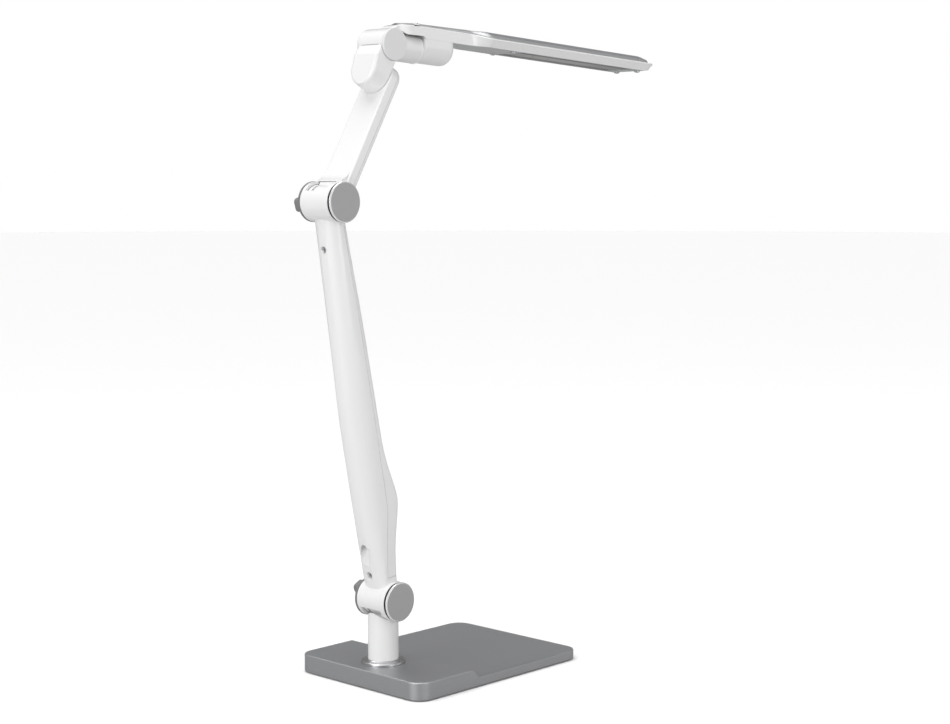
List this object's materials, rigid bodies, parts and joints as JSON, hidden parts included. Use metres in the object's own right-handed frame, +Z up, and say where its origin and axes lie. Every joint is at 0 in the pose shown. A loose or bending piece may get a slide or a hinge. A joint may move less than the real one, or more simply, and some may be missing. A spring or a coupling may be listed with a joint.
{
  "type": "folding LED desk lamp",
  "caption": "Folding LED desk lamp: weighted base, swivel post, two arms on friction joints, swivel neck and slim panel head.",
  "frame": {"origin": "on the post's swivel axis, in the plane of the table under the pad", "axes": "+Z up along the post, +X the way the head points, +Y the side with the clamping knobs"},
  "size_m": [0.3694, 0.1343, 0.4966],
  "materials": {
    "silver_paint": "satin",
    "white_plastic": "gloss",
    "joint_plastic": "satin",
    "grey_plastic": "satin",
    "bright_ring": "polished",
    "steel": "satin",
    "iron_weight": "matte",
    "brass": "satin",
    "rubber": "matte",
    "black_plastic": "matte",
    "lead_rubber": "matte",
    "board": "satin",
    "led_resin": "matte",
    "diffuser": "satin"
  },
  "bodies": {
    "base": {"base_cover": "silver_paint", "base_weight": "iron_weight", "base_bottom_plate": "black_plastic", "base_pad": "rubber", "base_screws": "steel", "swivel_collar": "bright_ring", "swivel_friction_disc": "white_plastic", "dc_inlet": "black_plastic", "base_lead": "lead_rubber"},
    "post": {"post_tube": "white_plastic", "post_knuckle": "white_plastic", "post_foot": "steel", "swivel_nut": "steel", "swivel_washer": "steel", "post_lead": "lead_rubber"},
    "lower_arm": {"lower_arm_front_shell": "white_plastic", "lower_arm_rear_shell": "white_plastic", "lower_arm_stiffener": "steel", "lower_arm_screws": "steel", "lower_arm_lead": "lead_rubber", "lower_bolt": "steel", "lower_flange": "white_plastic", "lower_cap": "grey_plastic", "lower_washers": "brass", "elbow_bolt": "steel", "elbow_flange": "white_plastic", "elbow_cap": "grey_plastic", "elbow_washers": "brass"},
    "lower_knob": {"lower_knob": "grey_plastic", "lower_knob_nut": "brass"},
    "elbow_knob": {"elbow_knob": "grey_plastic", "elbow_knob_nut": "brass"},
    "upper_arm": {"upper_arm_front_shell": "white_plastic", "upper_arm_rear_shell": "white_plastic", "upper_arm_knuckle": "white_plastic", "upper_arm_screws": "steel", "upper_arm_lead": "lead_rubber", "neck_pivot_washer": "steel"},
    "neck": {"neck_body": "white_plastic", "neck_pivot_bolt": "steel", "neck_pivot_nut": "brass"},
    "head": {"head_hinge_drum": "white_plastic", "head_cap_near": "joint_plastic", "head_cap_far": "joint_plastic", "tilt_bolt": "steel", "tilt_nut": "brass", "head_ring": "bright_ring", "head_shell": "white_plastic", "head_top_plate": "silver_paint", "head_rear_plate": "silver_paint", "head_housing_cover": "white_plastic", "head_under_cover": "grey_plastic", "led_board": "board", "led_chips": "led_resin", "diffuser": "diffuser", "driver_board": "board", "tact_switch": "black_plastic", "head_screws": "steel", "head_lead": "lead_rubber"},
    "power_button": {"power_button": "white_plastic"}
  },
  "joints": [
    {"name": "post_swivel", "type": "hinge", "parent": "base", "child": "post", "pos_m": [0, 0, 0.014], "axis": [0, 0, 1], "range_deg": [-90, 90]},
    {"name": "lower_tilt", "type": "hinge", "parent": "post", "child": "lower_arm", "pos_m": [0, 0, 0.0632], "axis": [0, 1, 0], "range_deg": [-20, 45]},
    {"name": "elbow", "type": "hinge", "parent": "lower_arm", "child": "upper_arm", "pos_m": [-0.05366, 0, 0.36446], "axis": [0, -1, 0], "range_deg": [-75, 55]},
    {"name": "neck_swivel", "type": "hinge", "parent": "upper_arm", "child": "neck", "pos_m": [-0.00346, 0, 0.45441], "axis": [-0.866, 0, 0.5], "range_deg": [-90, 90]},
    {"name": "head_tilt", "type": "hinge", "parent": "neck", "child": "head", "pos_m": [0.00159, 0, 0.47955], "axis": [0, -1, 0], "range_deg": [-20, 40]},
    {"name": "lower_knob_turn", "type": "hinge", "parent": "lower_arm", "child": "lower_knob", "pos_m": [0, 0.0135, 0.0632], "axis": [0, 1, 0], "range_deg": [0, 180]},
    {"name": "elbow_knob_turn", "type": "hinge", "parent": "lower_arm", "child": "elbow_knob", "pos_m": [-0.05366, 0.0135, 0.36446], "axis": [0, 1, 0], "range_deg": [0, 180]},
    {"name": "key_press", "type": "slide", "parent": "head", "child": "power_button", "axis": [-0.0523, 0, -0.9986], "range_m": [0, 0.0008], "stiffness_N_per_m": 300, "springref_m": -0.0006}
  ]
}
